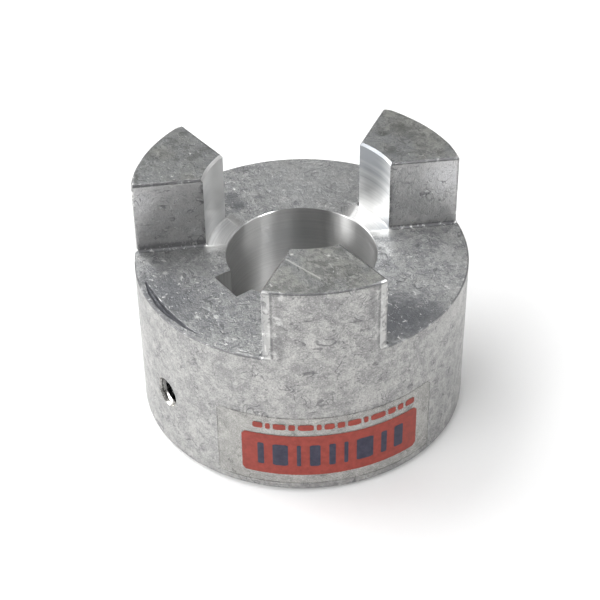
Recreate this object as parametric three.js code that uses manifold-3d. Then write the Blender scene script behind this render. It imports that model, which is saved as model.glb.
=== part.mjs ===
// One hub of a three-jaw shaft coupling: hub body with its jaws, set screw and label film.
// Millimetres. The origin is on the bore's axis at the back face, and +Z runs towards the jaws.
// The keyway and the set screw over it face -Y.

import * as THREE from "three";
import { mergeVertices } from "three/addons/utils/BufferGeometryUtils.js";
import Module from "manifold-3d";

const wasm = await Module();
wasm.setup();

// Body
const OUTER_R = 42.15;
const BODY_LENGTH = 42.9;
const BACK_CHAMFER = 1.2;
const BODY_SEGMENTS = 120;

// Jaws
const JAW_COUNT = 3;
const JAW_HEIGHT = 20;
const JAW_INNER_R = 24.5;
const JAW_PHASE = THREE.MathUtils.degToRad(91.66);
const LEG_HALF_ANGLE = Math.PI / 6; // a spider leg's sides run parallel to the radius at this angle
const LEG_HALF_WIDTH = 6.68;
const JAW_TOP_CHAMFER = 0.4;
const JAW_INNER_CHAMFER = 0.5;
const JAW_CORNER_ON_WALL = 2.6; // the bevel on the jaws' outer corners lies mostly along the wall
const JAW_CORNER_ON_SIDE = 0.3;

// Bore for a 1.5 in shaft, with a 3/8 in keyway
const BORE_R = 19.05;
const BORE_CHAMFER = 0.42;
const BORE_SEGMENTS = 96;
const KEYWAY_WIDTH = 9.525;
const KEYWAY_FLOOR = 23.34; // from the bore's axis

// Set screw, 5/16-18 x 1/2 in with a 5/32 in socket. Hole and screw are plain cylinders near the
// thread's pitch radius of 3.51.
const SCREW_Z = 18.2;
const HOLE_R = 3.65;
const HOLE_MOUTH_R = 4.25;
const SCREW_R = 3.35;
const SCREW_LENGTH = 12.7;
const SCREW_TIP_AT = 24.62; // from the bore's axis, one turn clear of a seated key
const SCREW_END_CHAMFER = 0.5;
const CUP_OUTER_R = 2.1;
const CUP_R = 1.75;
const CUP_DEPTH = 0.9;
const SOCKET_ACROSS_FLATS = 3.97;
const SOCKET_DEPTH = 4;
const SCREW_SEGMENTS = 48;

// Label film
const LABEL_START = THREE.MathUtils.degToRad(294);
const LABEL_SWEEP_STEPS = 26; // body facets that the film spans
const LABEL_LOW = 3;
const LABEL_HIGH = 24.8;
const LABEL_GAP = 0.03;
const LABEL_THICKNESS = 0.1;

const PAST = 2; // how far a cutter runs beyond the face it cuts
const TOTAL_HEIGHT = BODY_LENGTH + JAW_HEIGHT;

function toSolid(geometry) {
  const bare = geometry.index ? geometry.toNonIndexed() : geometry.clone();
  for (const name of Object.keys(bare.attributes)) {
    if (name !== "position") bare.deleteAttribute(name);
  }
  const merged = mergeVertices(bare, 1e-4);
  const triangles = [];
  for (let i = 0; i < merged.index.count; i += 3) {
    const corner = [merged.index.getX(i), merged.index.getX(i + 1), merged.index.getX(i + 2)];
    if (new Set(corner).size === corner.length) triangles.push(...corner);
  }
  return new wasm.Manifold(new wasm.Mesh({
    numProp: 3,
    vertProperties: new Float32Array(merged.attributes.position.array),
    triVerts: new Uint32Array(triangles),
  }));
}

function toGeometry(solid) {
  const mesh = solid.getMesh();
  const geometry = new THREE.BufferGeometry();
  geometry.setAttribute("position", new THREE.BufferAttribute(mesh.vertProperties, mesh.numProp));
  geometry.setIndex(new THREE.BufferAttribute(mesh.triVerts, 1));
  return geometry;
}

// A solid of revolution about Z from [radius, z] points. LatheGeometry turns about Y.
function turned(profile, segments) {
  const points = profile.map(([r, z]) => new THREE.Vector2(r, z));
  return new THREE.LatheGeometry(points, segments).rotateX(Math.PI / 2);
}

// A prism along Z from an outline of [x, y] points.
function prism(outline, low, high) {
  const shape = new THREE.Shape(outline.map(([x, y]) => new THREE.Vector2(x, y)));
  const depth = high - low;
  return new THREE.ExtrudeGeometry(shape, { depth, bevelEnabled: false }).translate(0, 0, low);
}

function blank() {
  return turned([
    [0, 0],
    [OUTER_R - BACK_CHAMFER, 0],
    [OUTER_R, BACK_CHAMFER],
    [OUTER_R, TOTAL_HEIGHT - JAW_TOP_CHAMFER],
    [OUTER_R - JAW_TOP_CHAMFER, TOTAL_HEIGHT],
    [0, TOTAL_HEIGHT],
  ], BODY_SEGMENTS);
}

// The space between two jaws: a wedge that opens outwards, centred on the +X axis.
function gapCutter() {
  const apex = -LEG_HALF_WIDTH / Math.sin(LEG_HALF_ANGLE);
  const reach = 2 * OUTER_R;
  const halfWidth = (reach - apex) * Math.tan(LEG_HALF_ANGLE);
  return prism([[apex, 0], [reach, -halfWidth], [reach, halfWidth]],
    BODY_LENGTH, TOTAL_HEIGHT + PAST);
}

// The bevel on a jaw's two vertical outer edges, for a jaw centred on the +X axis.
function cornerCutter(side) {
  const half = LEG_HALF_ANGLE - Math.asin(LEG_HALF_WIDTH / OUTER_R);
  const corner = new THREE.Vector2(OUTER_R * Math.cos(half), OUTER_R * Math.sin(half));
  const alongSide = new THREE.Vector2(-Math.cos(LEG_HALF_ANGLE), -Math.sin(LEG_HALF_ANGLE));
  const alongRim = new THREE.Vector2(Math.sin(half), -Math.cos(half));
  const onSide = corner.clone().addScaledVector(alongSide, JAW_CORNER_ON_SIDE);
  const onRim = corner.clone().addScaledVector(alongRim, JAW_CORNER_ON_WALL);
  const run = onSide.clone().sub(onRim);
  const a = onRim.clone().addScaledVector(run, -1);
  const b = onSide.clone().addScaledVector(run, 1);
  const outline = [[a.x, side * a.y], [b.x, side * b.y]];
  outline.push([corner.x + PAST, side * (corner.y + PAST)]);
  if (side < 0) outline.reverse();
  return prism(outline, BODY_LENGTH, TOTAL_HEIGHT + PAST);
}

function jawRecessCutter() {
  return turned([
    [0, BODY_LENGTH],
    [JAW_INNER_R, BODY_LENGTH],
    [JAW_INNER_R, TOTAL_HEIGHT - JAW_INNER_CHAMFER],
    [JAW_INNER_R + JAW_INNER_CHAMFER + PAST, TOTAL_HEIGHT + PAST],
    [0, TOTAL_HEIGHT + PAST],
  ], BORE_SEGMENTS);
}

function boreCutter() {
  return turned([
    [0, -PAST],
    [BORE_R + BORE_CHAMFER + PAST, -PAST],
    [BORE_R, BORE_CHAMFER],
    [BORE_R, BODY_LENGTH - BORE_CHAMFER],
    [BORE_R + BORE_CHAMFER + PAST, BODY_LENGTH + PAST],
    [0, BODY_LENGTH + PAST],
  ], BORE_SEGMENTS);
}

function keywayCutter() {
  const height = BODY_LENGTH + 2 * PAST;
  return new THREE.BoxGeometry(KEYWAY_WIDTH, KEYWAY_FLOOR, height)
    .translate(0, -KEYWAY_FLOOR / 2, BODY_LENGTH / 2);
}

// Moves a solid turned about Z, whose z counts from the bore's axis, onto the screw's radial axis.
function ontoScrewAxis(geometry) {
  return geometry.rotateX(Math.PI / 2).translate(0, 0, SCREW_Z);
}

function screwHoleCutter() {
  const flare = HOLE_MOUTH_R - HOLE_R;
  return ontoScrewAxis(turned([
    [0, KEYWAY_FLOOR - PAST],
    [HOLE_R, KEYWAY_FLOOR - PAST],
    [HOLE_R, OUTER_R - flare],
    [HOLE_MOUTH_R + PAST, OUTER_R + PAST],
    [0, OUTER_R + PAST],
  ], SCREW_SEGMENTS));
}

function hubBody() {
  const cutters = [jawRecessCutter(), boreCutter(), keywayCutter(), screwHoleCutter()];
  for (let i = 0; i < JAW_COUNT; i += 1) {
    const jaw = JAW_PHASE + (i * 2 * Math.PI) / JAW_COUNT;
    cutters.push(gapCutter().rotateZ(jaw + Math.PI / JAW_COUNT));
    cutters.push(cornerCutter(1).rotateZ(jaw));
    cutters.push(cornerCutter(-1).rotateZ(jaw));
  }
  return cutters.reduce((solid, cutter) => solid.subtract(toSolid(cutter)), toSolid(blank()));
}

function setScrew() {
  const end = SCREW_TIP_AT + SCREW_LENGTH;
  const tipCone = SCREW_R - CUP_OUTER_R;
  const shank = toSolid(ontoScrewAxis(turned([
    [0, SCREW_TIP_AT + CUP_DEPTH],
    [CUP_R, SCREW_TIP_AT],
    [CUP_OUTER_R, SCREW_TIP_AT],
    [SCREW_R, SCREW_TIP_AT + tipCone],
    [SCREW_R, end - SCREW_END_CHAMFER],
    [SCREW_R - SCREW_END_CHAMFER, end],
    [0, end],
  ], SCREW_SEGMENTS)));
  const socketR = SOCKET_ACROSS_FLATS / Math.sqrt(3);
  const hexagon = Array.from({ length: 6 }, (_, i) => {
    const angle = (i * Math.PI) / 3;
    return [socketR * Math.cos(angle), socketR * Math.sin(angle)];
  });
  const socket = toSolid(ontoScrewAxis(prism(hexagon, end - SOCKET_DEPTH, end + PAST)));
  return shank.subtract(socket);
}

// A curved strip that follows the body's facets at a small clearance.
function labelFilm() {
  const facet = (2 * Math.PI) / BODY_SEGMENTS;
  const start = Math.round(LABEL_START / facet) * facet;
  const arc = (radius) => Array.from({ length: LABEL_SWEEP_STEPS + 1 }, (_, i) => {
    const angle = start + i * facet;
    return [radius * Math.cos(angle), radius * Math.sin(angle)];
  });
  const inner = OUTER_R + LABEL_GAP;
  const outline = [...arc(inner + LABEL_THICKNESS), ...arc(inner).reverse()];
  return toSolid(prism(outline, LABEL_LOW, LABEL_HIGH));
}

const aluminium = () => new THREE.MeshStandardMaterial({
  color: 0xb4b4b2, roughness: 0.45, metalness: 0.9,
});
const blackOxideSteel = () => new THREE.MeshStandardMaterial({
  color: 0x2b2b2d, roughness: 0.4, metalness: 0.8,
});
const redFilm = () => new THREE.MeshStandardMaterial({
  color: 0xaf4b41, roughness: 0.4, metalness: 0,
});

function part(name, solid, material) {
  const mesh = new THREE.Mesh(toGeometry(solid), material);
  mesh.name = name;
  return mesh;
}

const hub = new THREE.Group();
hub.add(
  part("hub_body", hubBody(), aluminium()),
  part("set_screw", setScrew(), blackOxideSteel()),
  part("label_film", labelFilm(), redFilm()),
);

export default hub;
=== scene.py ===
import math

import bpy
import numpy as np
from mathutils import Matrix, Vector


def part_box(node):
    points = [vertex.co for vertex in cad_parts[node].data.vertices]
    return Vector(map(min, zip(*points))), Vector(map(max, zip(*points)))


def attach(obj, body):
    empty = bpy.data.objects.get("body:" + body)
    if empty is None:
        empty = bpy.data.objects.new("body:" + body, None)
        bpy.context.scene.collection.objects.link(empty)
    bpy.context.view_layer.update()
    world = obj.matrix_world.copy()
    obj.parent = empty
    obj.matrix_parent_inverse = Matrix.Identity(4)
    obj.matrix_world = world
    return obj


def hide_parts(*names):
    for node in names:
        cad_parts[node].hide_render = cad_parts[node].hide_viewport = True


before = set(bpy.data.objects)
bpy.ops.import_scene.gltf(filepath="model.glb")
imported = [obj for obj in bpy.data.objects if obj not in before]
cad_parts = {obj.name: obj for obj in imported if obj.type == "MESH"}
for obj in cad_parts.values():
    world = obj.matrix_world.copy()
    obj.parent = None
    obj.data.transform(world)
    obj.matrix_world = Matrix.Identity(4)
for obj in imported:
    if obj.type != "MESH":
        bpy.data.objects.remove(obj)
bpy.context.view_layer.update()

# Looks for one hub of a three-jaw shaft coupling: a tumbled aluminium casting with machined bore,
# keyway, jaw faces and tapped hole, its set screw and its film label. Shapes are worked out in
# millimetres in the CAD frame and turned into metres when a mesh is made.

MM = 0.001

# -----------------------------------------------------------------------------
# Sizes in millimetres, from the frame where it has them
# -----------------------------------------------------------------------------
HUB_LOW, HUB_HIGH = [np.array(c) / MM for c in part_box("hub_body")]
SCREW_LOW, SCREW_HIGH = [np.array(c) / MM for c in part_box("set_screw")]
LABEL_LOW, LABEL_HIGH = [np.array(c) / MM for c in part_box("label_film")]

OUTER_R = float(HUB_HIGH[1])
TOTAL_HEIGHT = float(HUB_HIGH[2])
JAW_HEIGHT = 20.0
BODY_LENGTH = TOTAL_HEIGHT - JAW_HEIGHT
BACK_CHAMFER = 1.2

JAW_COUNT = 3
JAW_PHASE = math.radians(91.66)
LEG_HALF_ANGLE = math.radians(30)
LEG_HALF_WIDTH = 6.68
JAW_INNER_R = 24.5
JAW_INNER_CHAMFER = 0.6
RECESS_CORNER = 0.35
CORNER_ON_WALL = 2.6  # the bevel on the jaws' outer corners lies mostly along the wall
CORNER_ON_SIDE = 0.3
CORNER_ROUND = 0.6
# It is much narrower on the two rear corners, which lie below this x and above this y
REAR_CORNER_ON_WALL = 0.9
REAR_BELOW_X = -10
REAR_ABOVE_Y = -15
CORNER_SPREAD = math.pi / 2 + math.asin(LEG_HALF_WIDTH / OUTER_R)  # from the side's normal to the wall's
JAW_TOP_BEVEL = 0.5
ROOT_FILLET = 0.55
RIM_ROUND = 0.25

BORE_R = 19.05
BORE_CHAMFER = 0.17
CORE_R = 18.2  # the cast hole, which the bore cutter opens out
KEYWAY_WIDTH = 9.525
KEYWAY_FLOOR = 23.34
SKIN = 0.035  # how far the cast floor lies under the plane that the jaw recess was turned to

SCREW_Z = float(SCREW_LOW[2] + SCREW_HIGH[2]) / 2
SCREW_TIP = float(-SCREW_HIGH[1])
SCREW_END = float(-SCREW_LOW[1])
THREAD_PITCH = 1.411
THREAD_MAJOR_R = 3.97
THREAD_MINOR_R = 3.28
THREAD_CLEARANCE = 0.07
MOUTH_WIDEN = 0.72  # the tapped hole's mouth is this much wider in radius than its threads
MOUTH_DEPTH = 1.25

PAST = 2  # how far a cutter runs beyond the face it cuts

# The same places in metres, for the materials
WALL_R, FLOOR_Z, TOP_Z = OUTER_R * MM, BODY_LENGTH * MM, TOTAL_HEIGHT * MM

LABEL_START = math.radians(294)
LABEL_END = math.radians(372)


# -----------------------------------------------------------------------------
# Camera, floor and light
# -----------------------------------------------------------------------------
CAMERA_AT = (0.2669, -0.1936, 0.2937)
CAMERA_AZIMUTH = math.radians(54.14)
CAMERA_ELEVATION = math.radians(38.93)
CAMERA_ROLL = math.radians(-0.71)
CAMERA_LENS = 98.27

# Name, place, size and power of each light. The first ones show only as highlights on the metal.
HIGHLIGHTS = (
    ("key", (-0.75, -0.2, 0.9), (0.6, 0.9), 14.5),
    ("front", (-0.51, -1.26, 0.34), (0.85, 0.3), 25),
    ("side", (0.65, 0.40, 1.06), (0.16, 0.36), 14),
    ("back", (-0.2, 0.91, 0.91), (0.6, 0.4), 2.6),
    ("low", (0.85, 0.88, 0.43), (0.4, 0.3), 4.2),
)
# These light the floor and the label's inks, and leave no highlight.
WASHES = (
    ("key_wash", (-0.95, -0.35, 1.1), (1.3, 1.3), 19),
    ("front_wash", (0.2, -1.25, 0.85), (1.0, 0.8), 13),
    ("top_wash", (-0.3, -0.3, 1.7), (1.2, 1.2), 8),
    ("right_wash", (0.9, 0.6, 0.8), (0.8, 0.8), 3),
    ("label_wash", (1.0, -0.3, 0.3), (0.5, 0.3), 3.2),
)
LIGHTS_AIM = Vector((0, 0, 0.03))
WORLD_STRENGTH = 0.25


def make_camera():
    a, e = CAMERA_AZIMUTH, CAMERA_ELEVATION
    back = Vector((math.sin(a) * math.cos(e), -math.cos(a) * math.cos(e), math.sin(e)))
    right = Vector((math.cos(a), math.sin(a), 0))
    up = back.cross(right)
    x = right * math.cos(CAMERA_ROLL) + up * math.sin(CAMERA_ROLL)
    y = up * math.cos(CAMERA_ROLL) - right * math.sin(CAMERA_ROLL)
    data = bpy.data.cameras.new("camera")
    data.lens = CAMERA_LENS
    data.sensor_width = 36
    camera = bpy.data.objects.new("camera", data)
    camera.matrix_world = Matrix.Translation(CAMERA_AT) @ Matrix((x, y, back)).transposed().to_4x4()
    bpy.context.scene.collection.objects.link(camera)
    bpy.context.scene.camera = camera


def area_light(name, at, size, power, diffuse, glossy):
    data = bpy.data.lights.new(name, "AREA")
    data.shape = "RECTANGLE"
    data.size, data.size_y = size
    data.energy = power
    light = bpy.data.objects.new(name, data)
    light.location = at
    light.rotation_euler = (LIGHTS_AIM - Vector(at)).to_track_quat("-Z", "Y").to_euler()
    light.visible_diffuse = diffuse
    light.visible_glossy = glossy
    bpy.context.scene.collection.objects.link(light)


def make_studio():
    bpy.ops.mesh.primitive_circle_add(vertices=96, radius=6, fill_type="NGON")
    floor = bpy.context.object
    floor.name = "studio_floor"
    material, shader = new_material("studio_white", 1.0, 0.0)
    shader.inputs["Base Color"].default_value = (0.9, 0.9, 0.9, 1)
    floor.data.materials.append(material)
    for light in HIGHLIGHTS:
        area_light(*light, diffuse=False, glossy=True)
    for light in WASHES:
        area_light(*light, diffuse=True, glossy=False)
    world = bpy.data.worlds.new("studio")
    world.use_nodes = True
    background = world.node_tree.nodes["Background"]
    background.inputs["Color"].default_value = (1, 1, 1, 1)
    background.inputs["Strength"].default_value = WORLD_STRENGTH
    bpy.context.scene.world = world
    bpy.context.scene.view_settings.view_transform = "Standard"


# -----------------------------------------------------------------------------
# Node helpers
# -----------------------------------------------------------------------------
def new_material(name, roughness, metallic):
    material = bpy.data.materials.new(name)
    material.use_nodes = True
    shader = material.node_tree.nodes["Principled BSDF"]
    shader.inputs["Roughness"].default_value = roughness
    shader.inputs["Metallic"].default_value = metallic
    return material, shader


class Graph:
    """Short calls that add shader nodes and join them up."""

    def __init__(self, material):
        self.nodes = material.node_tree.nodes
        self.links = material.node_tree.links
        self.place = self.nodes.new("ShaderNodeTexCoord").outputs["Object"]

    def put(self, socket, value):
        if isinstance(value, bpy.types.NodeSocket):
            self.links.new(value, socket)
        else:
            socket.default_value = value

    def stretch(self, scale, offset=(0, 0, 0)):
        node = self.nodes.new("ShaderNodeMapping")
        self.put(node.inputs["Vector"], self.place)
        node.inputs["Scale"].default_value = scale
        node.inputs["Location"].default_value = offset
        return node.outputs["Vector"]

    def noise(self, scale, detail=3.0, rough=0.55, vector=None, distortion=0.0):
        node = self.nodes.new("ShaderNodeTexNoise")
        self.put(node.inputs["Vector"], vector or self.place)
        node.inputs["Scale"].default_value = scale
        node.inputs["Detail"].default_value = detail
        node.inputs["Roughness"].default_value = rough
        node.inputs["Distortion"].default_value = distortion
        return node.outputs["Fac"]

    def math(self, operation, a, b=0.0):
        node = self.nodes.new("ShaderNodeMath")
        node.operation = operation
        for socket, value in zip(node.inputs, (a, b)):
            self.put(socket, value)
        return node.outputs["Value"]

    def product(self, value, *others):
        for other in others:
            value = self.math("MULTIPLY", value, other)
        return value

    def total(self, value, *others):
        for other in others:
            value = self.math("ADD", value, other)
        return value

    def rest_of(self, value):
        return self.math("SUBTRACT", 1.0, value)

    def remap(self, value, low, high, to_low=0.0, to_high=1.0):
        node = self.nodes.new("ShaderNodeMapRange")
        node.interpolation_type = "SMOOTHSTEP"
        self.put(node.inputs["Value"], value)
        node.inputs["From Min"].default_value = low
        node.inputs["From Max"].default_value = high
        node.inputs["To Min"].default_value = to_low
        node.inputs["To Max"].default_value = to_high
        return node.outputs["Result"]

    def blend(self, fac, a, b):
        node = self.nodes.new("ShaderNodeMix")
        node.data_type = "RGBA"
        self.put(node.inputs["Factor"], fac)
        self.put(node.inputs["A"], a)
        self.put(node.inputs["B"], b)
        return node.outputs["Result"]

    def shade(self, fac, low, high):
        """A colour between two, from low to high."""
        return self.blend(fac, (*low, 1), (*high, 1))

    def paint(self, base, colour, *masks):
        """The base with a colour laid over it as far as all the masks let it through."""
        return self.blend(self.product(*masks), base, (*colour, 1))

    def mixed(self, fac, a, b):
        return self.total(a, self.product(fac, self.math("SUBTRACT", b, a)))

    def distance(self, at):
        node = self.nodes.new("ShaderNodeVectorMath")
        node.operation = "DISTANCE"
        self.put(node.inputs[0], self.place)
        node.inputs[1].default_value = at
        return node.outputs["Value"]

    def fibres(self, scale, width, offset, low, high):
        """Short thin curved lines, where a second noise lets them through."""
        curl = self.noise(scale, 2, 0.4, self.stretch((1, 1, 1.3), offset), 1.9)
        away = self.math("ABSOLUTE", self.math("SUBTRACT", curl, 0.5))
        gate = self.noise(scale * 1.3, 2, 0.5, self.stretch((1, 1, 1), offset[::-1]))
        return self.product(self.remap(away, width * 0.3, width, 1.0, 0.0), self.remap(gate, low, high))

    def within(self, value, limit, soft):
        """1 where a length is under the limit in millimetres either way, with a soft end."""
        return self.remap(self.math("ABSOLUTE", value), (limit - soft) * MM, (limit + soft) * MM, 1.0, 0.0)

    def near(self, place, reach, wander):
        """1 at a place and 0 beyond its reach, both in millimetres, with a ragged outline."""
        reach *= MM
        away = self.total(self.distance([c * MM for c in place]), self.product(wander, reach * 0.8))
        return self.remap(away, reach * 0.5, reach * 1.5, 1.0, 0.0)

    def attribute(self, name):
        node = self.nodes.new("ShaderNodeAttribute")
        node.attribute_name = name
        return node.outputs["Fac"]

    def bump(self, height, strength, distance):
        node = self.nodes.new("ShaderNodeBump")
        self.put(node.inputs["Height"], height)
        node.inputs["Strength"].default_value = strength
        node.inputs["Distance"].default_value = distance
        return node.outputs["Normal"]

    def split(self, vector):
        node = self.nodes.new("ShaderNodeSeparateXYZ")
        self.put(node.inputs["Vector"], vector)
        return node.outputs["X"], node.outputs["Y"], node.outputs["Z"]

    def along(self, value):
        """A vector that only its X moves along, for a noise in one direction."""
        node = self.nodes.new("ShaderNodeCombineXYZ")
        self.put(node.inputs["X"], value)
        return node.outputs["Vector"]

    def radius(self):
        x, y, _ = self.split(self.place)
        return self.math("SQRT", self.total(self.product(x, x), self.product(y, y)))

    def turned_grain(self, shader, amount):
        """Stretches highlights as rings round Z do."""
        node = self.nodes.new("ShaderNodeTangent")
        node.direction_type = "RADIAL"
        node.axis = "Z"
        self.put(shader.inputs["Tangent"], node.outputs["Tangent"])
        self.put(shader.inputs["Anisotropic"], amount)
        shader.inputs["Anisotropic Rotation"].default_value = 0.25


# -----------------------------------------------------------------------------
# Cast aluminium. Each mark is (x, y, reach, strength), and each list of them lies at one height.
# -----------------------------------------------------------------------------
# Dark marks on the floor: stains, and at (34.5, 1.5) a painted shadow beside the front jaw
FLOOR_STAINS_AND_SHADOW = ((0, -34, 22, 0.4), (-2.6, -37.3, 9.5, 0.6), (-9.5, -36.8, 8.5, 0.6), (34.5, 1.5, 16, 0.95),
                (38.5, 9, 8, 0.6), (-26.2, -0.8, 3, 0.8), (-30.5, -0.8, 3.5, 0.7), (-17.9, 11.7, 1.6, 0.6),
                (-26.3, 5.1, 2, 0.55), (-15, -32.5, 7, 0.3))
# Painted light on the floor: lighter patches that lift the shade beside the left jaw's foot and at the back
# left
FLOOR_PAINTED_LIGHT = ((-25, 22, 20, 0.2), (-13.5, -28.5, 10, 0.25))
FLOOR_SPECKS = ((-13.6, -32.2, 1, 0.55), (8.3, -31.7, 1, 0.55), (21.9, -34.6, 1, 0.55),
                (16.7, -34.2, 1, 0.55), (5.6, -35.4, 1, 0.55))
TOP_STAINS = ((-6.7, 30.9, 1.9, 0.9), (0.6, 28, 2.4, 0.65), (-6.3, 36.4, 3, 0.5), (-35.9, -13.5, 2, 0.6),
              (-37.4, -10.1, 2.2, 0.4), (-30, -20, 22, 0.26))
TOP_SPECKS = ((20.6, -17.8, 0.6, 1), (19.2, -20.4, 0.6, 1), (26.1, -11.2, 0.6, 1))
# Painted highlights on the jaws' sides: pale patches high up that stand in for reflections
SIDE_PAINTED_HIGHLIGHTS = ((-24.8, -31.8, 5.2, 0.2), (9.6, 38.5, 8.5, 0.42))
SIDE_HIGHLIGHT_Z = 57.5

SCRATCH_AT = (25.6, -19.1)
SCRATCH_TURN = math.radians(11)
SCRATCH_HALF_LENGTH = 6.4
SCRATCH_HALF_WIDTH = 0.2


class CastGraph(Graph):
    """The masks and noises that the layers of the casting's skin share."""

    def __init__(self, material):
        super().__init__(material)
        _, _, height = self.split(self.place)
        self.upward = self.attribute("upward")
        self.crown = self.product(self.upward, self.remap(height, TOP_Z - 0.0079, TOP_Z - 0.0029))
        self.flat_floor = self.math("SUBTRACT", self.upward, self.crown)
        self.flank = self.product(self.remap(height, FLOOR_Z + 0.0001, FLOOR_Z + 0.0007),
                                  self.remap(self.radius(), WALL_R - 0.00115, WALL_R - 0.00045, 1.0, 0.0),
                                  self.rest_of(self.upward))
        self.edge = self.attribute("edge")
        self.skim = self.attribute("skim")
        self.gouge = self.attribute("gouge")

        self.cloud = self.noise(120, 3, 0.5)
        self.mottle = self.noise(380, 8, 0.7, distortion=0.4)
        self.grain = self.noise(1300, 4, 0.75)
        self.grit = self.noise(2700, 2, 0.6)
        self.smudge = self.noise(190, 6, 0.66, self.stretch((1, 1, 1.7), (0.2, 0.5, 0.1)), 1.0)
        self.pit = self.noise(760, 3, 0.6, self.stretch((1, 1, 1.6), (0.3, 0.1, 0.2)), 1.5)
        self.fleck = self.noise(560, 3, 0.55, self.stretch((1, 1.7, 1), (5, 3, 1)), 1.2)
        self.tone = self.total(self.product(self.mottle, 0.7), self.product(self.cloud, 0.3))
        self.dark_fibres = self.fibres(360, 0.045, (2, 7, 4), 0.46, 0.58)
        self.scuffs = self.fibres(170, 0.034, (9, 2, 6), 0.50, 0.60)
        self.foot_shade = self.make_foot_shade()

    def make_foot_shade(self):
        """Painted shade in the crease at the jaws' feet, with a ragged upper end and a few lighter flecks.
        """
        root = self.attribute("root")
        ragged = self.product(self.math("SUBTRACT", self.mottle, 0.5), 1.3)
        return self.product(self.remap(self.total(root, ragged), 0.0, 0.62),
                            self.remap(self.fleck, 0.56, 0.66, 1.0, 0.2),
                            self.remap(root, 0.0, 0.25))

    def marked(self, base, marks, colour, z, *where):
        for x, y, reach, strength in marks:
            base = self.paint(base, colour, self.near((x, y, z), reach, self.mottle), *where, strength)
        return base


def cast_skin(g):
    """Mottled grey: lighter on the wall, cooler on the floor, olive and bluish on the jaws' tops; painted
    light on the jaws' sides.
    """
    wall = g.shade(g.remap(g.tone, 0.37, 0.63), (0.305, 0.304, 0.30), (0.505, 0.50, 0.485))
    floor = g.shade(g.remap(g.tone, 0.38, 0.62), (0.25, 0.256, 0.262), (0.55, 0.555, 0.55))
    top = g.shade(g.remap(g.tone, 0.39, 0.61), (0.20, 0.204, 0.196), (0.46, 0.463, 0.435))
    top = g.paint(top, (0.33, 0.345, 0.365), g.remap(g.noise(55, 2, 0.5), 0.44, 0.56), 0.5)
    base = g.blend(g.crown, g.blend(g.upward, wall, floor), top)
    # Painted light: the jaws' sides lighter, standing in for the bright floor they reflect
    base = g.paint(base, (0.70, 0.70, 0.715), g.flank, 0.33)
    # Painted highlights: pale patches high on two jaws' sides
    base = g.marked(base, SIDE_PAINTED_HIGHLIGHTS, (0.90, 0.90, 0.93), SIDE_HIGHLIGHT_Z, g.flank)

    coarse = g.mixed(g.math("MAXIMUM", g.crown, g.flank), 0.42, 0.2)
    base = g.paint(base, (0.25, 0.253, 0.258), g.remap(g.grain, 0.36, 0.68), coarse)
    base = g.paint(base, (0.17, 0.172, 0.176), g.remap(g.grit, 0.50, 0.68), coarse)
    return g.paint(base, (0.70, 0.70, 0.69), g.remap(g.grit, 0.32, 0.46, 0.8, 0.0), coarse)


def scratch(g):
    """A thin line across the top of the jaw over the label."""
    node = g.nodes.new("ShaderNodeMapping")
    node.vector_type = "TEXTURE"
    g.put(node.inputs["Vector"], g.place)
    node.inputs["Location"].default_value = (SCRATCH_AT[0] * MM, SCRATCH_AT[1] * MM, 0)
    node.inputs["Rotation"].default_value = (0, 0, SCRATCH_TURN)
    x, y, _ = g.split(node.outputs["Vector"])
    return g.product(g.within(y, SCRATCH_HALF_WIDTH, 0.1), g.within(x, SCRATCH_HALF_LENGTH, 0.4))


def marks_and_painted_light(g, base):
    """Fibres, smudges, pits, stains and bright flecks, with painted light and a painted shadow on the floor.
    """
    pale_fibres = g.fibres(420, 0.05, (4, 2, 8), 0.46, 0.58)
    base = g.paint(base, (0.72, 0.725, 0.72), pale_fibres, g.flat_floor, 0.55)
    base = g.paint(base, (0.14, 0.142, 0.148), g.dark_fibres, g.remap(g.upward, 0.0, 1.0, 0.36, 0.5))
    base = g.paint(base, (0.11, 0.11, 0.118), g.scuffs, 0.62)
    base = g.paint(base, (0.19, 0.192, 0.198), g.remap(g.smudge, 0.58, 0.74, 0.0, 0.55))
    base = g.paint(base, (0.12, 0.12, 0.126), g.remap(g.pit, 0.63, 0.71, 0.0, 0.7))
    base = g.paint(base, (0.13, 0.131, 0.124), g.crown, g.remap(g.smudge, 0.50, 0.64, 0.0, 0.5))
    # Painted light: lighter patches on the floor
    base = g.marked(base, FLOOR_PAINTED_LIGHT, (0.66, 0.67, 0.67), BODY_LENGTH, g.flat_floor)
    # Stains, and a painted shadow beside the front jaw
    base = g.marked(base, FLOOR_STAINS_AND_SHADOW, (0.14, 0.145, 0.155), BODY_LENGTH, g.flat_floor)
    base = g.marked(base, TOP_STAINS, (0.12, 0.122, 0.115), TOTAL_HEIGHT, g.crown)
    base = g.marked(base, FLOOR_SPECKS, (0.80, 0.80, 0.79), BODY_LENGTH)
    fewer_on_crown = g.rest_of(g.product(g.crown, g.remap(g.cloud, 0.42, 0.55, 0.9, 0.2)))
    base = g.paint(base, (0.80, 0.80, 0.79), g.remap(g.fleck, 0.62, 0.69), g.upward, 0.75, fewer_on_crown)
    base = g.marked(base, TOP_SPECKS, (0.82, 0.82, 0.80), TOTAL_HEIGHT, g.crown)
    return g.paint(base, (0.72, 0.715, 0.69), scratch(g), g.crown, 0.6)


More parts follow.
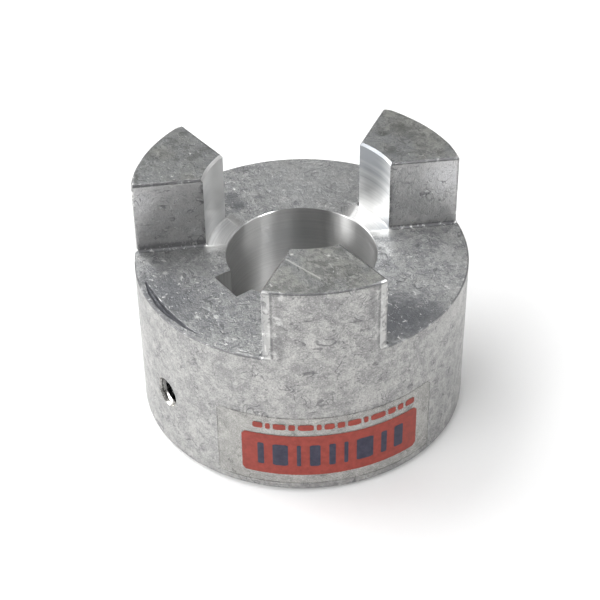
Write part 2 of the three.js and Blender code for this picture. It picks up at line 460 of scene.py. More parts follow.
def edges_wear_and_painted_light(g, base):
    """Pale bevels with a dark seam, painted glints on edges, dull brows, painted shade at the jaws' feet and
    in the gash, and the skimmed floor.
    """
    broken = g.remap(g.noise(420, 4, 0.6, distortion=1.0), 0.40, 0.47)
    base = g.paint(base, (0.64, 0.64, 0.625), g.attribute("bevel"), broken, 0.85)
    base = g.paint(base, (0.13, 0.13, 0.135), g.attribute("seam"), g.remap(g.mottle, 0.4, 0.55, 0.85, 0.5))
    base = g.paint(base, (0.21, 0.21, 0.215), g.edge, 0.65)
    dull = g.attribute("dull")
    keenness = g.math("SUBTRACT", 0.75, g.product(dull, 0.6))
    # Painted glints: edges lighter in broken specks
    base = g.paint(base, (0.84, 0.84, 0.83), g.edge, g.remap(g.mottle, 0.54, 0.62), keenness)
    base = g.paint(base, (0.11, 0.11, 0.113), dull, g.remap(g.mottle, 0.50, 0.64, 0.92, 0.55))
    base = g.paint(base, (0.13, 0.13, 0.135), g.attribute("inner"), g.remap(g.mottle, 0.4, 0.58, 0.85, 0.1))
    # Painted shade in the crease at the jaws' feet
    base = g.paint(base, (0.115, 0.116, 0.122), g.foot_shade, 0.82)
    # Painted shade in the gash
    base = g.paint(base, (0.072, 0.073, 0.082), g.gouge, 0.92)
    return g.paint(base, (0.72, 0.72, 0.71), g.skim, 0.92)


def cast_aluminium():
    """Tumbled casting. Beside the jaws the facing cut has skimmed it, so it turns into faced metal there."""
    material, shader = new_material("cast_aluminium", 0.42, 1.0)
    g = CastGraph(material)
    g.put(shader.inputs["Base Color"], edges_wear_and_painted_light(g, marks_and_painted_light(g, cast_skin(g))))

    rough = g.total(g.remap(g.tone, 0.35, 0.65, 0.47, 0.36), g.product(g.foot_shade, 0.3),
                    g.product(g.flank, -0.09), g.product(g.gouge, 0.25), g.product(g.edge, 0.22))
    g.put(shader.inputs["Roughness"], g.mixed(g.skim, rough, 0.30))
    g.turned_grain(shader, g.product(g.skim, 0.9))
    relief = g.total(g.product(g.grain, 0.4), g.product(g.mottle, 0.8), g.product(g.grit, 0.2),
                     g.product(g.scuffs, -0.12), g.product(g.dark_fibres, -0.12))
    relief = g.product(relief, g.rest_of(g.math("POWER", g.skim, 0.5)))
    g.put(shader.inputs["Normal"], g.bump(relief, 0.4, 0.0004))
    return material


# -----------------------------------------------------------------------------
# The other materials
# -----------------------------------------------------------------------------
# Painted shade on turned metal, darker places that stand in for dark reflections, as (x, y, z, reach,
# strength)
FACED_PAINTED_SHADE = ((-4, 24.2, 61.2, 17.2, 0.85), (-22.5, -9.5, 44, 8, 0.35), (6.2, 23.2, 42.9, 7.5, 0.75),
             (-17.2, -17.5, 47.5, 6.5, 0.4), (-17.2, -17.5, 55.5, 6.5, 0.3))
BORED_PAINTED_SHADE = ((-16.8, 9, 34, 12.5, 0.38),)


def turned_aluminium(name, along_z, roughness, grooved, tint, painted_shade):
    """Lathe-cut metal with fine rings, which repeat along Z in the bore and outwards on a face."""
    material, shader = new_material(name, roughness, 1.0)
    g = Graph(material)
    _, _, height = g.split(g.place)
    run = height if along_z else g.radius()
    rings = g.noise(1.0, 4, 0.7, g.along(g.product(run, 5200)))
    broad = g.noise(1.0, 2, 0.5, g.along(g.product(run, 900 if along_z else 2400)))
    darker, lighter = (tint * 0.88, tint * 0.88, tint * 0.87), (tint * 1.1, tint * 1.1, tint * 1.09)
    base = g.shade(g.remap(rings, 0.3, 0.7), darker, lighter)
    base = g.paint(base, (tint * 0.7,) * 3, g.remap(broad, 0.35, 0.65, 0.0, 0.2 if along_z else 0.7))
    patchy_noise = g.noise(1.0, 3, 0.6, g.along(g.product(g.total(height, run), 700)))
    # Painted shade: darker places standing in for dark reflections
    for *place, reach, strength in painted_shade:
        base = g.paint(base, (0.15, 0.163, 0.18), g.near(place, reach, patchy_noise), strength)
    g.put(shader.inputs["Base Color"], base)
    g.put(shader.inputs["Roughness"], g.remap(broad, 0.3, 0.7, roughness - 0.03, roughness + 0.05))
    g.turned_grain(shader, grooved)
    g.put(shader.inputs["Normal"], g.bump(rings, 0.12, 0.00004))
    return material


def broached_aluminium():
    """The keyway's metal, with fine lines along Z."""
    material, shader = new_material("broached_aluminium", 0.34, 1.0)
    g = Graph(material)
    lines = g.noise(1500, 3, 0.6, g.stretch((1, 1, 0.03)))
    base = g.shade(g.remap(lines, 0.3, 0.7), (0.50, 0.50, 0.495), (0.60, 0.60, 0.595))
    g.put(shader.inputs["Base Color"], base)
    g.put(shader.inputs["Roughness"], g.remap(lines, 0.3, 0.7, 0.3, 0.4))
    g.put(shader.inputs["Normal"], g.bump(lines, 0.15, 0.00005))
    return material


def tapped_aluminium():
    """Thread-cut metal, painted dark inside as shade in the hole and painted bright low in the mouth as a
    glint.
    """
    material, shader = new_material("tapped_aluminium", 0.3, 1.0)
    g = Graph(material)
    patchy_noise = g.noise(900, 3, 0.6)
    # Painted shade inside the hole
    inside = g.shade(g.remap(patchy_noise, 0.3, 0.7), (0.06, 0.06, 0.065), (0.20, 0.197, 0.19))
    # Painted highlight low in the mouth, where the glint shows
    mouth = g.shade(g.remap(patchy_noise, 0.35, 0.65), (0.62, 0.60, 0.57), (0.90, 0.89, 0.86))
    _, _, height = g.split(g.place)
    hole_z = SCREW_Z * MM
    glint_low_in_mouth = g.product(g.remap(g.radius(), WALL_R - 0.00165, WALL_R - 0.00105),
                      g.remap(height, hole_z - 0.0030, hole_z - 0.0012, 1.0, 0.35))
    g.put(shader.inputs["Base Color"], g.blend(glint_low_in_mouth, inside, mouth))
    g.put(shader.inputs["Roughness"], g.remap(patchy_noise, 0.3, 0.7, 0.2, 0.32))
    g.put(shader.inputs["Normal"], g.bump(patchy_noise, 0.1, 0.00005))
    return material


def black_oxide_steel():
    """Nearly black steel, rubbed lighter on the thread's crests."""
    material, shader = new_material("black_oxide_steel", 0.38, 1.0)
    g = Graph(material)
    stain = g.noise(700, 4, 0.6)
    base = g.shade(g.remap(stain, 0.3, 0.7), (0.035, 0.036, 0.04), (0.085, 0.086, 0.09))
    base = g.paint(base, (0.32, 0.31, 0.3), g.attribute("edge"), 0.6)
    g.put(shader.inputs["Base Color"], base)
    g.put(shader.inputs["Roughness"], g.remap(stain, 0.3, 0.7, 0.3, 0.48))
    g.put(shader.inputs["Normal"], g.bump(stain, 0.1, 0.00005))
    return material


def clear_film():
    """Thin clear film whose rim has picked up a line of dirt."""
    material, shader = new_material("clear_film", 0.3, 0.0)
    g = Graph(material)
    x, y, z = g.split(g.place)
    haze = g.noise(160, 3, 0.5)
    turn = g.math("ARCTAN2", y, x)
    middle = (LABEL_START + LABEL_END) / 2 - 2 * math.pi
    along = g.math("ABSOLUTE", g.math("SUBTRACT", turn, middle))
    low, high = float(LABEL_LOW[2]) * MM, float(LABEL_HIGH[2]) * MM
    upright = g.math("ABSOLUTE", g.math("SUBTRACT", z, (low + high) / 2))
    half_turn, half_height = (LABEL_END - LABEL_START) / 2, (high - low) / 2
    rim = g.math("MAXIMUM", g.remap(along, half_turn - 0.007, half_turn - 0.004),
                 g.remap(upright, half_height - 0.00028, half_height - 0.00016))
    dirt = g.product(rim, g.remap(g.noise(420, 3, 0.6), 0.40, 0.62, 0.02, 0.28))
    base = g.shade(g.remap(haze, 0.3, 0.7), (0.46, 0.45, 0.41), (0.60, 0.59, 0.55))
    g.put(shader.inputs["Base Color"], g.paint(base, (0.16, 0.155, 0.15), rim))
    g.put(shader.inputs["Roughness"], g.remap(haze, 0.3, 0.7, 0.25, 0.4))
    g.put(shader.inputs["Alpha"], g.total(dirt, 0.13))
    return material


def printed_ink(name, low, high):
    """Flat ink between two close colours."""
    material, shader = new_material(name, 0.42, 0.0)
    g = Graph(material)
    shader.inputs["Specular IOR Level"].default_value = 0.25
    mottle = g.noise(700, 4, 0.65)
    g.put(shader.inputs["Base Color"], g.shade(g.remap(mottle, 0.3, 0.7), low, high))
    g.put(shader.inputs["Roughness"], g.remap(mottle, 0.3, 0.7, 0.36, 0.5))
    g.put(shader.inputs["Normal"], g.bump(mottle, 0.05, 0.00003))
    return material


# -----------------------------------------------------------------------------
# Distance functions in millimetres, negative inside the metal
# -----------------------------------------------------------------------------
def round_and(a, b, k):
    """Both of a and b, with the edge between them rounded to radius k."""
    return np.minimum(np.maximum(a, b) + k, 0) + np.hypot(np.maximum(a + k, 0), np.maximum(b + k, 0)) - k


def fillet_or(a, b, k):
    """Either of a and b, with a fillet of radius k between them."""
    return -round_and(-a, -b, k)


def bevel_and(a, b, leg):
    """Both of a and b, with a 45 degree bevel on the edge between them."""
    return np.maximum(np.maximum(a, b), (a + b + leg) / math.sqrt(2))


def lattice_noise(p, seed):
    """Smooth noise from -1 to 1 over points in lattice units."""
    cell = np.floor(p).astype(np.int64)
    t = p - cell
    t = t * t * (3 - 2 * t)
    total = np.zeros(p.shape[:-1])
    for corner in range(8):
        step = np.array([corner & 1, corner >> 1 & 1, corner >> 2 & 1])
        h = (cell + step) * np.array([73856093, 19349663, 83492791])
        h = h[..., 0] ^ h[..., 1] ^ h[..., 2] ^ (seed * 40503)
        h = (h ^ (h >> 13)) * 1274126177
        h = (h ^ (h >> 16)) & 0xFFFF
        weight = np.prod(np.where(step == 1, t, 1 - t), axis=-1)
        total += weight * (h / 32767.5 - 1)
    return total


def jaw_side(p):
    """Distance outside the nearest jaw's flat sides."""
    best = None
    for i in range(JAW_COUNT):
        a = JAW_PHASE + i * 2 * math.pi / JAW_COUNT
        along = p[..., 0] * math.cos(a) + p[..., 1] * math.sin(a)
        across = np.abs(p[..., 1] * math.cos(a) - p[..., 0] * math.sin(a))
        side = across * math.cos(LEG_HALF_ANGLE) - along * math.sin(LEG_HALF_ANGLE) + LEG_HALF_WIDTH
        best = side if best is None else np.minimum(best, side)
    return best


def corner_width(p):
    """How far the nearest outer corner's bevel runs along the wall."""
    rear = (p[..., 0] < REAR_BELOW_X) & (p[..., 1] > REAR_ABOVE_Y)
    return np.where(rear, REAR_CORNER_ON_WALL, CORNER_ON_WALL)


def corner_plane(side, wall, width):
    """Distance outside the bevel on the nearest jaw's outer corner."""
    a, b = 1 / width, 1 / CORNER_ON_SIDE
    return (a * side + b * wall + 1) / np.sqrt(a * a + b * b + 2 * a * b * math.cos(CORNER_SPREAD))


def jaw_prism(p, wall):
    """The three jaws before turning, as upright prisms with bevelled outer corners and top edges."""
    side = jaw_side(p)
    side = round_and(side, corner_plane(side, wall, corner_width(p)), CORNER_ROUND)
    return bevel_and(side, p[..., 2] - TOTAL_HEIGHT, JAW_TOP_BEVEL)


GASH_START = math.radians(250)
GASH_END = math.radians(287)
GASH_R = 40.2
GASH_HALF_WIDTH = 0.85
GASH_DEPTH = 0.9


def gash(p, r):
    """A tapering crescent groove beside the rim, from a knock in the casting."""
    t = (np.mod(np.arctan2(p[..., 1], p[..., 0]), 2 * math.pi) - GASH_START) / (GASH_END - GASH_START)
    beyond = (t <= 0) | (t >= 1)
    t = np.clip(t, 0.001, 0.999)
    taper = np.sin(math.pi * t ** 0.72) ** 1.1
    wander = 0.06 * np.sin(17 * t) + 0.03 * np.sin(41 * t)
    across = (r - GASH_R - wander) / (GASH_HALF_WIDTH * taper * (1 + 0.07 * np.sin(33 * t + 1)))
    down = (p[..., 2] - BODY_LENGTH) / (GASH_DEPTH * taper)
    return np.where(beyond, 1.0, (np.hypot(across, down) - 1) * GASH_DEPTH * taper)


def skimmed(p):
    """1 on the floor beside a jaw's foot, where the facing cut just touched it, and 0 elsewhere."""
    inside_recess = np.hypot(p[..., 0], p[..., 1]) < JAW_INNER_R + 0.1
    at_floor = np.abs(p[..., 2] - BODY_LENGTH) < 0.5
    return np.clip(1.15 - jaw_side(p) / 3.4, 0, 1) * inside_recess * at_floor


def smooth_blank(p):
    """The clean casting."""
    r = np.hypot(p[..., 0], p[..., 1])
    wall = r - OUTER_R
    upper = fillet_or(p[..., 2] - (BODY_LENGTH - SKIN), jaw_prism(p, wall), ROOT_FILLET)
    body = round_and(upper, wall, RIM_ROUND)
    body = bevel_and(body, -p[..., 2], BACK_CHAMFER)
    body = np.maximum(body, CORE_R - r)
    return np.maximum(body, -gash(p, r))


def cast_blank(p):
    """The casting with its slight unevenness, pits and edge nicks."""
    f = smooth_blank(p)
    near = np.abs(f) < 1.2
    q = p[near]
    uneven = 0.02 * lattice_noise(q / 5.5, 1) + 0.012 * lattice_noise(q / 1.7, 2)
    nick = 0.5 * np.clip(lattice_noise(q / 1.1, 3) - 0.72, 0, 1)
    f[near] += (uneven + nick) * (1 - 0.95 * skimmed(q))
    return f


def gradient(field, p, h):
    grad = np.empty_like(p)
    for axis in range(3):
        step = np.zeros(3)
        step[axis] = h
        grad[..., axis] = (field(p + step) - field(p - step)) / (2 * h)
    return grad


# -----------------------------------------------------------------------------
# Meshing
# -----------------------------------------------------------------------------
def spaced(stops):
    """Grid lines through [(start, spacing), ..., (end, None)], each stretch evenly divided."""
    lines = [stops[0][0]]
    for (start, spacing), (end, _) in zip(stops, stops[1:]):
        count = max(1, round((end - start) / spacing))
        lines.extend(np.linspace(start, end, count + 1)[1:])
    return np.array(lines)


def from_cylinder(p):
    """Points from [radius, angle, z] to [x, y, z]."""
    return np.stack([p[..., 0] * np.cos(p[..., 1]), p[..., 0] * np.sin(p[..., 1]), p[..., 2]], -1)


def nets_on_cylinder(field, radii, angles, heights):
    """Closed quad mesh of field < 0 on a cylindrical grid that wraps round in angle."""
    grid = np.stack(np.meshgrid(radii, angles, heights, indexing="ij"), axis=-1)
    f = field(from_cylinder(grid))
    inside = f < 0
    shape = (len(radii) - 1, len(angles), len(heights) - 1)
    total = np.zeros((*shape, 3))
    count = np.zeros(shape)
    index = [np.arange(n) for n in f.shape]

    def shifted(a, axis, by):
        return np.roll(a, -by, axis=axis) if by else a

    for axis in range(3):
        far = shifted(inside, axis, 1)
        crossing = inside != far
        ff = shifted(f, axis, 1)
        t = np.where(crossing, f / np.where(crossing, f - ff, 1), 0)
        other = shifted(grid, axis, 1).copy()
        if axis == 1:
            other[:, -1, :, 1] += 2 * math.pi
        at = grid + t[..., None] * (other - grid)
        others = [k for k in range(3) if k != axis]
        for da in (0, 1):
            for db in (0, 1):
                moved_c = shifted(shifted(crossing, others[0], da), others[1], db)
                moved_p = shifted(shifted(at, others[0], da), others[1], db).copy()
                if 1 in others and (da if others[0] == 1 else db):
                    moved_p[:, -1, :, 1] += 2 * math.pi
                c = moved_c[: shape[0], :, : shape[2]]
                total += np.where(c[..., None], moved_p[: shape[0], :, : shape[2]], 0)
                count += c
    active = count > 0
    ids = np.full(shape, -1)
    ids[active] = np.arange(int(active.sum()))
    mean = total[active] / count[active][:, None]

    quads = []
    steps = {0: ((0, -1, -1), (0, 0, -1), (0, 0, 0), (0, -1, 0)),
             1: ((-1, 0, -1), (-1, 0, 0), (0, 0, 0), (0, 0, -1)),
             2: ((-1, -1, 0), (0, -1, 0), (0, 0, 0), (-1, 0, 0))}
    for axis, around in steps.items():
        far = shifted(inside, axis, 1)
        crossing = inside != far
        if axis != 1:
            crossing[tuple(slice(-1, None) if k == axis else slice(None) for k in range(3))] = False
        i, j, k = np.nonzero(crossing)
        corners = []
        for di, dj, dk in around:
            corners.append(ids[i + di, (j + dj) % shape[1], k + dk])
        quad = np.stack(corners, -1)
        outward = inside[i, j, k]
        quads.append(np.where(outward[:, None], quad, quad[:, ::-1]))
    return from_cylinder(mean), np.concatenate(quads)


def settle(verts, field, steps=5):
    """Moves points onto the surface."""
    for _ in range(steps):
        g = gradient(field, verts, 0.03)
        f = field(verts)
        move = -(f / np.maximum((g * g).sum(-1), 0.3))[:, None] * g
        length = np.linalg.norm(move, axis=-1, keepdims=True)
        verts = verts + move * np.minimum(1, 0.25 / np.maximum(length, 1e-9))
    return verts


def mesh_object(name, verts, faces, materials=(), finish=0):
    """finish says which of the materials the faces take."""
    mesh = bpy.data.meshes.new(name)
    faces = faces.tolist() if isinstance(faces, np.ndarray) else faces
    mesh.from_pydata((np.asarray(verts) * MM).tolist(), [], faces)
    for material in materials:
        mesh.materials.append(material)
    mesh.polygons.foreach_set("material_index", [finish] * len(mesh.polygons))
    mesh.validate()
    ob = bpy.data.objects.new(name, mesh)
    bpy.context.scene.collection.objects.link(ob)
    return ob


def lathe(name, profile, segments, materials=(), finish=0):
    """Solid of revolution about Z from [radius, z] points whose ends are on the axis, bottom first."""
    verts, faces = [(0, 0, profile[0][1])], []
    rings = []
    for r, z in profile[1:-1]:
        rings.append(len(verts))
        for s in range(segments):
            a = 2 * math.pi * s / segments
            verts.append((r * math.cos(a), r * math.sin(a), z))
    top = len(verts)
    verts.append((0, 0, profile[-1][1]))
    for s in range(segments):
        n = (s + 1) % segments
        faces.append((0, rings[0] + n, rings[0] + s))
        for a, b in zip(rings, rings[1:]):
            faces.append((a + s, a + n, b + n, b + s))
        faces.append((rings[-1] + s, rings[-1] + n, top))
    return mesh_object(name, verts, faces, materials, finish)


def box_object(name, low, high, materials=(), finish=0):
    (x0, y0, z0), (x1, y1, z1) = low, high
    verts = [(x0, y0, z0), (x1, y0, z0), (x1, y1, z0), (x0, y1, z0),
             (x0, y0, z1), (x1, y0, z1), (x1, y1, z1), (x0, y1, z1)]
    faces = [(0, 3, 2, 1), (4, 5, 6, 7), (0, 1, 5, 4), (1, 2, 6, 5), (2, 3, 7, 6), (3, 0, 4, 7)]
    return mesh_object(name, verts, faces, materials, finish)


def threaded_rod(name, low, high, clearance, limit, materials=(), finish=0, segments=40, per_pitch=12):
    """Right-handed 60 degree thread about the screw hole's axis, from low to high outwards from the
    bore's axis. limit(y) gives a function that widens or narrows each ring."""
    depth = THREAD_MAJOR_R - THREAD_MINOR_R
    count = int((high - low) / THREAD_PITCH * per_pitch)
    ys = np.linspace(low, high, count + 1)
    angles = np.arange(segments) * 2 * math.pi / segments
    phase = np.mod(ys[:, None] / THREAD_PITCH - angles[None, :] / (2 * math.pi), 1)
    ramp = np.clip((0.5 - np.abs(phase - 0.5)) * 2 * 1.3 - 0.12, 0, 1)
    radius = THREAD_MINOR_R + depth * ramp - clearance
    radius = limit(radius, ys[:, None])
    verts = [(0, -low, SCREW_Z)]
    for y, ring in zip(ys, radius):
        verts.extend((r * math.cos(a), -y, SCREW_Z + r * math.sin(a)) for a, r in zip(angles, ring))
    verts.append((0, -high, SCREW_Z))
    faces, last = [], len(verts) - 1
    for s in range(segments):
        n = (s + 1) % segments
        faces.append((0, 1 + n, 1 + s))
        for k in range(len(ys) - 1):
            a, b = 1 + k * segments, 1 + (k + 1) * segments
            faces.append((a + s, a + n, b + n, b + s))
        end = 1 + (len(ys) - 1) * segments
        faces.append((end + s, end + n, last))
    return mesh_object(name, verts, faces, materials, finish)


def cut(target, cutter):
    modifier = target.modifiers.new("cut", "BOOLEAN")
    modifier.operation = "DIFFERENCE"
    modifier.object = cutter
    modifier.solver = "MANIFOLD"
    bpy.context.view_layer.update()
    result = bpy.data.meshes.new_from_object(target.evaluated_get(bpy.context.evaluated_depsgraph_get()))
    target.modifiers.clear()
    old = target.data
    target.data = result
    bpy.data.meshes.remove(old)
    bpy.data.objects.remove(cutter)


def mesh_points(mesh):
    flat = np.empty(len(mesh.vertices) * 3)
    mesh.vertices.foreach_get("co", flat)
    return flat.reshape(-1, 3) / MM


def write_attribute(mesh, name, values):
    attribute = mesh.attributes.new(name, "FLOAT", "POINT")
    attribute.data.foreach_set("value", np.asarray(values, dtype=np.float32))


def smooth_shading(mesh, degrees):
    mesh.shade_smooth()
    mesh.set_sharp_from_angle(angle=math.radians(degrees))


# -----------------------------------------------------------------------------
# Hub
# -----------------------------------------------------------------------------
def jaw_angles():
    """Grid angles, closer where the jaws' slanted sides lie."""
    coarse, fine = math.radians(0.85), math.radians(0.42)
    near, far = math.radians(12.5), math.radians(22.8)
    turn = 2 * math.pi / JAW_COUNT
    stops = []
    for i in range(JAW_COUNT):
        c = JAW_PHASE + i * turn
        stops += [(c - far, fine), (c - near, coarse), (c + near, fine), (c + far, coarse)]
    stops.append((JAW_PHASE - far + 2 * math.pi, None))
    return spaced(stops)[:-1]


def mark_hub(mesh):
    """Writes what the casting's material needs to know about each point."""
    p = mesh_points(mesh)
    reach = 0.3
    bend = -6 * smooth_blank(p)
    for axis in range(3):
        step = np.zeros(3)
        step[axis] = reach
        bend += smooth_blank(p + step) + smooth_blank(p - step)
    write_attribute(mesh, "edge", np.clip((bend / reach - 0.12) / 0.5, 0, 1))
    normal = gradient(smooth_blank, p, 0.05)
    write_attribute(mesh, "upward", np.clip((normal[:, 2] - 0.4) / 0.4, 0, 1))

    # Signed distances: out past the jaws' sides, out past the wall, up from the floor, up from the tops
    side, wall = jaw_side(p), np.hypot(p[:, 0], p[:, 1]) - OUTER_R
    above, below_top = p[:, 2] - BODY_LENGTH, p[:, 2] - TOTAL_HEIGHT

    width = corner_width(p)
    bevel = (side > -width + 0.45) & (wall > -CORNER_ON_SIDE - 0.35) & (above > 0.1)
    write_attribute(mesh, "bevel", bevel)
    seam = np.clip(1 - (side + width - 0.15) ** 2 / 0.09, 0, 1) * (wall > -0.3) * (above > 0.3)
    write_attribute(mesh, "seam", seam)

    beside_top = np.minimum(side, below_top) > -JAW_TOP_BEVEL - 0.15
    brow = (np.abs(side + below_top + JAW_TOP_BEVEL) < 0.2) & beside_top
    open_rim = (np.abs(above) < 0.35) & (side > 0.3)
    rim = (np.abs(wall) < 0.3) & (open_rim | (below_top > -0.35))
    write_attribute(mesh, "dull", np.where(bevel, 0, np.maximum(brow, 0.7 * rim)))

    # How far up each jaw's foot the painted shade in the crease reaches
    root_height = np.where(p[:, 0] < 0, 2.9, 0.8)
    at_foot = (above > -SKIN - 0.1) & (np.abs(side) < 0.9) & (wall < -0.9)
    write_attribute(mesh, "root", np.clip(1 - (above - 0.1) / root_height, 0, 1) * at_foot)
    upright = (above > 0.3) & (normal[:, 2] < 0.3)
    inner = np.clip(1 - (wall + OUTER_R - JAW_INNER_R - 0.2) / 0.9, 0, 1) * upright
    write_attribute(mesh, "inner", inner)
    write_attribute(mesh, "skim", skimmed(p))
    # The gash, which the casting's material darkens with painted shade
    write_attribute(mesh, "gouge", np.clip(1 - gash(p, wall + OUTER_R) / 0.12, 0, 1))


def build_hub(materials):
    top, floor = TOTAL_HEIGHT, BODY_LENGTH
    radii = spaced([(CORE_R - 0.7, 0.7), (CORE_R + 0.7, 0.85), (39.0, 0.22), (OUTER_R + 0.5, None)])
    heights = spaced([(-0.5, 0.25), (1.6, 0.9), (floor - 1.4, 0.22), (floor + 1.4, 0.8),
                      (top - 1.2, 0.22), (top + 0.5, None)])
    verts, quads = nets_on_cylinder(cast_blank, radii, jaw_angles(), heights)
    verts = settle(verts, cast_blank)
    finishes = list(materials.values())
    order = list(materials)
    hub = mesh_object("hub_casting", verts, quads, finishes)

    recess = [(0, floor), (JAW_INNER_R - RECESS_CORNER, floor), (JAW_INNER_R, floor + RECESS_CORNER),
              (JAW_INNER_R, top - JAW_INNER_CHAMFER),
              (JAW_INNER_R + JAW_INNER_CHAMFER + PAST, top + PAST), (0, top + PAST)]
    cut(hub, lathe("recess", recess, 288, finishes, order.index("faced")))
    skin_floor = floor - SKIN
    bore = [(0, -PAST), (BORE_R + BORE_CHAMFER + PAST, -PAST), (BORE_R, BORE_CHAMFER),
            (BORE_R, skin_floor - BORE_CHAMFER), (BORE_R + BORE_CHAMFER + PAST, skin_floor + PAST),
            (0, floor + PAST)]
    cut(hub, lathe("bore", bore, 256, finishes, order.index("bored")))
    half = KEYWAY_WIDTH / 2
    cut(hub, box_object("keyway", (-half, -KEYWAY_FLOOR, -PAST), (half, 0, floor + PAST),
                        finishes, order.index("broached")))

    def flare(radius, y):
        return np.maximum(radius, THREAD_MINOR_R + MOUTH_WIDEN * (1 + (y - OUTER_R) / MOUTH_DEPTH))

    cut(hub, threaded_rod("tap", KEYWAY_FLOOR - PAST, OUTER_R + 1.0, 0, flare, finishes,
                          order.index("tapped")))

    mark_hub(hub.data)
    smooth_shading(hub.data, 32)
    return hub


# -----------------------------------------------------------------------------
# Set screw
# -----------------------------------------------------------------------------
SOCKET_ACROSS_FLATS = 3.97
SOCKET_DEPTH = 4.0
DRILL_DEPTH = 0.9  # the cone that the socket's drill left below the hexagon
CUP_R = 1.75
CUP_DEPTH = 0.9
CUP_LIP = 0.25  # the flat ring between the cup and the tip's cone
END_CHAMFER = 0.25  # how far the outer end's cone goes below the thread's root


def hex_prism(name, low, high, materials):
    r = SOCKET_ACROSS_FLATS / math.sqrt(3)
    ring = [(r * math.cos(k * math.pi / 3), r * math.sin(k * math.pi / 3)) for k in range(6)]
    verts = [(x, -low, SCREW_Z + z) for x, z in ring] + [(x, -high, SCREW_Z + z) for x, z in ring]
    verts.append((0, -low + DRILL_DEPTH, SCREW_Z))
    faces = [(k, (k + 1) % 6, (k + 1) % 6 + 6, k + 6) for k in range(6)]
    faces += [(12, (k + 1) % 6, k) for k in range(6)]
    faces.append(tuple(range(6, 12)))
    return mesh_object(name, verts, faces, materials)


def cone_about_screw(name, base_y, base_r, tip_y, materials, segments=40):
    verts = [(0, -base_y, SCREW_Z)]
    for s in range(segments):
        a = 2 * math.pi * s / segments
        verts.append((base_r * math.cos(a), -base_y, SCREW_Z + base_r * math.sin(a)))
    verts.append((0, -tip_y, SCREW_Z))
    faces = []
    for s in range(segments):
        a, b = 1 + s, 1 + (s + 1) % segments
        faces.append((0, b, a))
        faces.append((a, b, segments + 1))
    return mesh_object(name, verts, faces, materials)


def build_screw(material):
    def ends(radius, y):
        tip = CUP_R + CUP_LIP + (y - SCREW_TIP)
        outer = THREAD_MINOR_R - END_CHAMFER + (SCREW_END - y)
        return np.minimum(radius, np.minimum(tip, outer))

    screw = threaded_rod("set_screw_threaded", SCREW_TIP, SCREW_END, THREAD_CLEARANCE, ends, [material],
                         segments=48, per_pitch=14)
    cut(screw, hex_prism("socket", SCREW_END - SOCKET_DEPTH, SCREW_END + 1, [material]))
    before = 0.5
    cup_r = CUP_R + before * CUP_R / CUP_DEPTH
    cut(screw, cone_about_screw("cup", SCREW_TIP - before, cup_r, SCREW_TIP + CUP_DEPTH, [material]))
    p = mesh_points(screw.data)
    r = np.hypot(p[:, 0], p[:, 2] - SCREW_Z)
    write_attribute(screw.data, "edge", np.clip((r - THREAD_MAJOR_R + 0.25) / 0.2, 0, 1))
    smooth_shading(screw.data, 32)
    return screw


# -----------------------------------------------------------------------------
# Label. Angles round the wall are in degrees.
# -----------------------------------------------------------------------------
FILM_GAP = 0.03
FILM_THICKNESS = 0.1
INK_THICKNESS = 0.02
INK_GAP = 0.01
SHEET_CORNER = 1.2
PANEL = (303, 365.5, 6, 19)  # from and to in angle, then in height
PANEL_CORNER = 1.0
BARS_START = 308.5
BAR_WIDTHS = (2.2, 5.2, 1.4, 3.6, 2.2, 1.4, 6.0, 2.2, 3.6)
BAR_GAP = 2.9
BAR_HEIGHTS = (9, 16)
DASHES_START = 307
DASH_WIDTHS = (3.4, 1.6, 4.2, 2.2, 5.2, 1.6, 3.4, 2.6, 4.6, 1.6, 5.4, 3.0, 2.2, 3.8)
DASH_GAP = 0.95
DASH_HEIGHTS = (20.9, 22.7)
MARK_CORNER = 0.3


def rounded_outline(a0, a1, z0, z1, corner):
    """Outline of a rectangle on the wall with rounded corners."""
    degrees = math.degrees(1 / OUTER_R)
    outline = []
    for ca, cz, start in ((a1, z1, 0), (a0, z1, 90), (a0, z0, 180), (a1, z0, 270)):
        inward_a = ca - corner * degrees if ca == a1 else ca + corner * degrees
        inward_z = cz - corner if cz == z1 else cz + corner
        for s in range(7):
            t = math.radians(start + s * 15)
            outline.append((inward_a + corner * degrees * math.cos(t), inward_z + corner * math.sin(t)))
    return outline


def patches_on_wall(name, outlines, inner, outer, material):
    """Thin closed shells on the wall, one to an outline. They are filled by columns, so each has to be
    convex."""
    verts, faces = [], []
    for outline in outlines:
        outline = np.array(outline, float)
        low, high = outline[:, 0].min(), outline[:, 0].max()
        steps = max(6, round((high - low) / 1.2))
        columns = np.linspace(low + 1e-4, high - 1e-4, steps + 1)
        first = len(verts)
        for c in columns:
            hits = []
            for (a0, z0), (a1, z1) in zip(outline, np.roll(outline, -1, axis=0)):
                if (a0 - c) * (a1 - c) <= 0 and a0 != a1:
                    hits.append(z0 + (z1 - z0) * (c - a0) / (a1 - a0))
            a = math.radians(c)
            for r in (inner, outer):
                verts.append((r * math.cos(a), r * math.sin(a), min(hits)))
                verts.append((r * math.cos(a), r * math.sin(a), max(hits)))
        for k in range(steps):
            a, b = first + 4 * k, first + 4 * k + 4
            faces.append((a + 2, b + 2, b + 3, a + 3))
            faces.append((a + 1, b + 1, b, a))
            faces.append((a, b, b + 2, a + 2))
            faces.append((a + 3, b + 3, b + 1, a + 1))
        end = first + 4 * steps
        faces.append((first, first + 2, first + 3, first + 1))
        faces.append((end + 1, end + 3, end + 2, end))
    ob = mesh_object(name, verts, faces, [material])
    smooth_shading(ob.data, 30)
    return ob


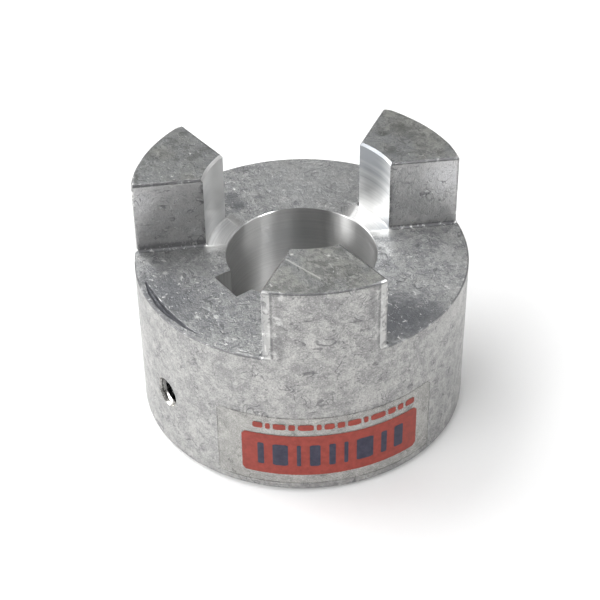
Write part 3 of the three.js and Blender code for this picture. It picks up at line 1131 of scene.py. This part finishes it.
def row_of_marks(start, widths, gap, heights):
    outlines = []
    for width in widths:
        outlines.append(rounded_outline(start, start + width, *heights, MARK_CORNER))
        start += width + gap
    return outlines


def build_label(materials):
    """A clear film printed with a red panel, a row of navy bars and a row of small red dashes."""
    heights = float(LABEL_LOW[2]), float(LABEL_HIGH[2])
    film = OUTER_R + FILM_GAP
    red = film + FILM_THICKNESS + INK_GAP
    navy = red + INK_THICKNESS + INK_GAP
    sheet = rounded_outline(math.degrees(LABEL_START), math.degrees(LABEL_END), *heights, SHEET_CORNER)
    panel = rounded_outline(*PANEL, PANEL_CORNER)
    bars = row_of_marks(BARS_START, BAR_WIDTHS, BAR_GAP, BAR_HEIGHTS)
    dashes = row_of_marks(DASHES_START, DASH_WIDTHS, DASH_GAP, DASH_HEIGHTS)
    return [
        patches_on_wall("label_clear_film", [sheet], film, film + FILM_THICKNESS, materials["film"]),
        patches_on_wall("label_red_panel", [panel], red, red + INK_THICKNESS, materials["red"]),
        patches_on_wall("label_navy_bars", bars, navy, navy + INK_THICKNESS, materials["navy"]),
        patches_on_wall("label_red_dashes", dashes, red, red + INK_THICKNESS, materials["red"]),
    ]


# -----------------------------------------------------------------------------
# Put it together
# -----------------------------------------------------------------------------
make_camera()
make_studio()

hub = build_hub({
    "cast": cast_aluminium(),
    "faced": turned_aluminium("faced_aluminium", False, 0.34, 0.88, 0.76, FACED_PAINTED_SHADE),
    "bored": turned_aluminium("bored_aluminium", True, 0.34, 0.95, 0.58, BORED_PAINTED_SHADE),
    "broached": broached_aluminium(),
    "tapped": tapped_aluminium(),
})
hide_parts("hub_body")
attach(hub, "hub")

screw = build_screw(black_oxide_steel())
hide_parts("set_screw")
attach(screw, "screw")

label = build_label({
    "film": clear_film(),
    "red": printed_ink("red_ink", (0.205, 0.035, 0.026), (0.275, 0.05, 0.037)),
    "navy": printed_ink("navy_ink", (0.026, 0.026, 0.045), (0.045, 0.044, 0.068)),
})
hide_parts("label_film")
for piece in label:
    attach(piece, "hub")
